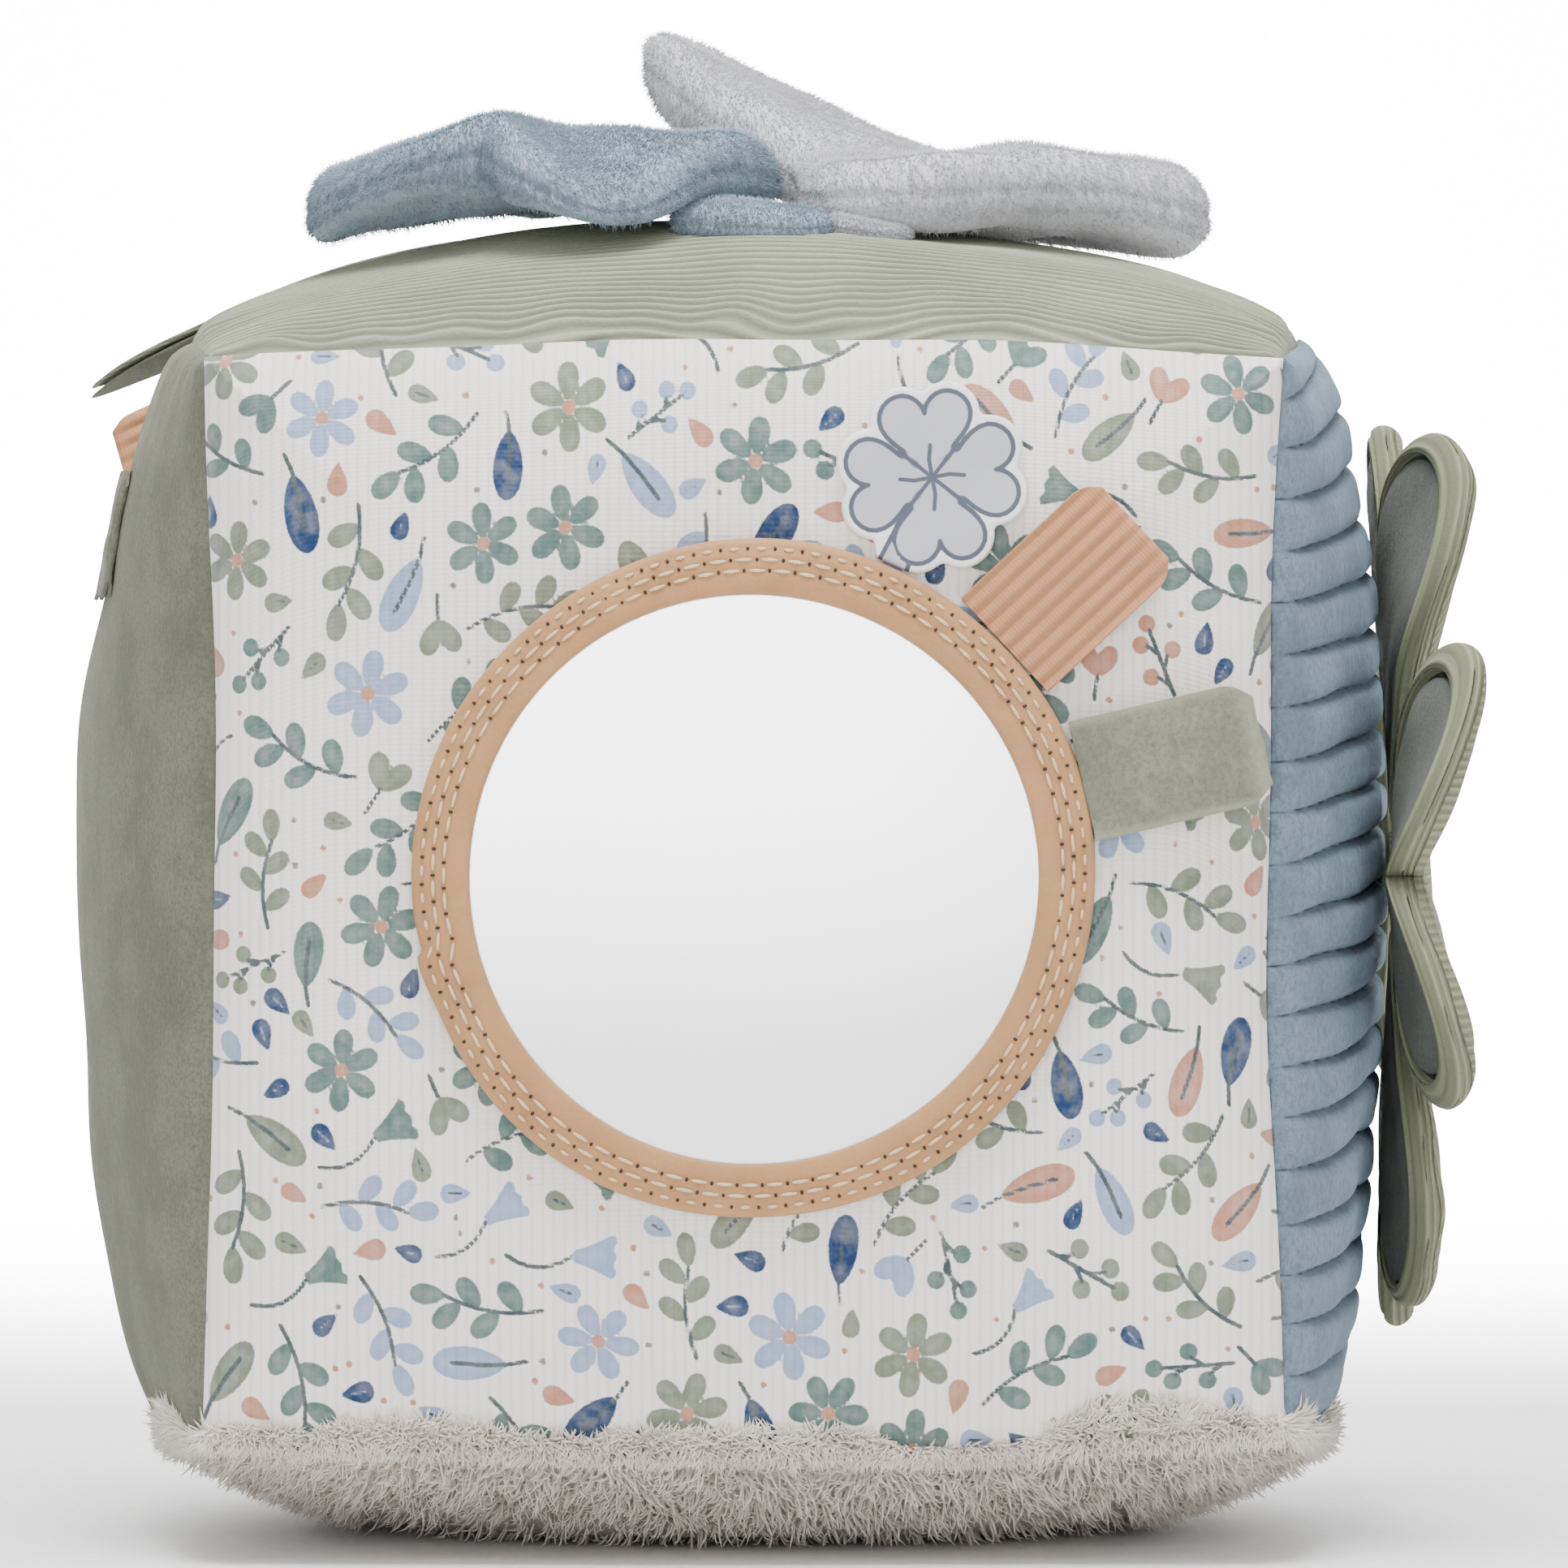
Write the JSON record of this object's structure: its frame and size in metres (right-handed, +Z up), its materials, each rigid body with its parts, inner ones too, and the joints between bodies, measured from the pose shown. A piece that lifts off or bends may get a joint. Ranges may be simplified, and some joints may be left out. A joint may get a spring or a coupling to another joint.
{
  "type": "soft fabric block",
  "caption": "Soft fabric baby block with a round mirror, ribbon and velour loops, a clover tag, plush leaves on top and a crinkling clover flap on one side.",
  "frame": {"origin": "middle of the flat underneath on which the block rests", "axes": "+Z up, -Y out of the mirror face, +X towards the ribbed face with the clover flap"},
  "size_m": [0.2031, 0.1879, 0.2144],
  "materials": {
    "printed_jersey": "matte",
    "sage_velour": "matte",
    "sage_cord": "matte",
    "blue_cord": "matte",
    "cream_plush": "matte",
    "blue_plush": "matte",
    "grey_plush": "matte",
    "grey_velour": "matte",
    "tan_tape": "satin",
    "peach_ribbon": "matte",
    "grey_satin": "satin",
    "mirror_film": "gloss",
    "white_fibre": "matte",
    "white_foam": "matte",
    "crinkle_film": "satin",
    "rattle_plastic": "matte",
    "bead_steel": "satin"
  },
  "bodies": {
    "block": {"front_panel": "printed_jersey", "back_panel": "printed_jersey", "left_panel": "sage_velour", "right_panel": "blue_cord", "top_panel": "sage_cord", "bottom_panel": "cream_plush", "filling": "white_fibre", "filling_plug": "white_fibre", "rattle_case_front": "rattle_plastic", "rattle_case_back": "rattle_plastic", "rattle_bead_1": "bead_steel", "rattle_bead_2": "bead_steel", "rattle_bead_3": "bead_steel", "mirror_pad": "white_foam", "mirror_disc": "mirror_film", "mirror_ring": "tan_tape", "clover_centre": "sage_cord", "blue_leaf_root": "blue_plush", "grey_leaf_root": "grey_plush"},
    "ribbon_loop": {"ribbon_loop": "peach_ribbon"},
    "velour_loop": {"velour_loop": "sage_velour"},
    "clover_tag": {"clover_tag": "grey_satin"},
    "side_tab": {"side_tab": "sage_velour"},
    "corner_ribbon": {"corner_ribbon": "peach_ribbon"},
    "blue_leaf": {"blue_leaf_upper": "blue_plush", "blue_leaf_lower": "blue_plush", "blue_leaf_filling": "white_fibre"},
    "grey_leaf": {"grey_leaf_upper": "grey_plush", "grey_leaf_lower": "grey_plush", "grey_leaf_filling": "white_fibre"},
    "sage_leaf": {"sage_leaf_under": "sage_velour", "sage_leaf_over": "sage_cord"},
    "clover_front": {"clover_front_back": "grey_velour", "clover_front_film": "crinkle_film", "clover_front_face": "sage_cord"},
    "clover_top": {"clover_top_back": "grey_velour", "clover_top_film": "crinkle_film", "clover_top_face": "sage_cord"},
    "clover_back": {"clover_back_back": "grey_velour", "clover_back_film": "crinkle_film", "clover_back_face": "sage_cord"},
    "clover_bottom": {"clover_bottom_back": "grey_velour", "clover_bottom_film": "crinkle_film", "clover_bottom_face": "sage_cord"}
  },
  "joints": [
    {"name": "ribbon_loop_hinge", "type": "hinge", "parent": "block", "child": "ribbon_loop", "pos_m": [0.03587, -0.0919, 0.12705], "axis": [0.682, 0, -0.7314], "range_deg": [0, 100], "stiffness_Nm_per_rad": 0.001},
    {"name": "velour_loop_hinge", "type": "hinge", "parent": "block", "child": "velour_loop", "pos_m": [0.04657, -0.0925, 0.10835], "axis": [0.225, 0, -0.9744], "range_deg": [0, 100], "stiffness_Nm_per_rad": 0.001},
    {"name": "clover_tag_hinge", "type": "hinge", "parent": "block", "child": "clover_tag", "pos_m": [0.02062, -0.0912, 0.13794], "axis": [0.9135, 0, -0.4067], "range_deg": [0, 60], "stiffness_Nm_per_rad": 0.001},
    {"name": "side_tab_hinge", "type": "hinge", "parent": "block", "child": "side_tab", "pos_m": [-0.0924, -0.012, 0.14399], "axis": [0, 0, -1], "range_deg": [0, 80], "stiffness_Nm_per_rad": 0.001},
    {"name": "corner_ribbon_hinge", "type": "hinge", "parent": "block", "child": "corner_ribbon", "pos_m": [-0.07575, 0.07785, 0.16625], "axis": [0.2756, 0, -0.9613], "range_deg": [-15, 60], "stiffness_Nm_per_rad": 0.001},
    {"name": "blue_leaf_hinge", "type": "hinge", "parent": "block", "child": "blue_leaf", "pos_m": [0.0005, -0.044, 0.189], "axis": [1, 0, 0], "range_deg": [0, 24]},
    {"name": "grey_leaf_hinge", "type": "hinge", "parent": "block", "child": "grey_leaf", "pos_m": [0.018, -0.044, 0.189], "axis": [1, 0, 0], "range_deg": [0, 35]},
    {"name": "sage_leaf_hinge", "type": "hinge", "parent": "block", "child": "sage_leaf", "pos_m": [-0.036, 0.022, 0.18703], "axis": [0.1915, 0.9815, 0], "range_deg": [0, 60]},
    {"name": "clover_front_hinge", "type": "hinge", "parent": "block", "child": "clover_front", "pos_m": [0.0995, -0.0066, 0.095], "axis": [0, 0, 1], "range_deg": [0, 30], "stiffness_Nm_per_rad": 0.01},
    {"name": "clover_top_hinge", "type": "hinge", "parent": "block", "child": "clover_top", "pos_m": [0.0995, -0.00046, 0.10158], "axis": [0, 0.9976, 0.0698], "range_deg": [0, 30], "stiffness_Nm_per_rad": 0.01},
    {"name": "clover_back_hinge", "type": "hinge", "parent": "block", "child": "clover_back", "pos_m": [0.0995, 0.0066, 0.095], "axis": [0, 0, -1], "range_deg": [0, 30], "stiffness_Nm_per_rad": 0.01},
    {"name": "clover_bottom_hinge", "type": "hinge", "parent": "block", "child": "clover_bottom", "pos_m": [0.0995, -0.00092, 0.08846], "axis": [0, -0.9903, 0.1392], "range_deg": [0, 30], "stiffness_Nm_per_rad": 0.01}
  ]
}
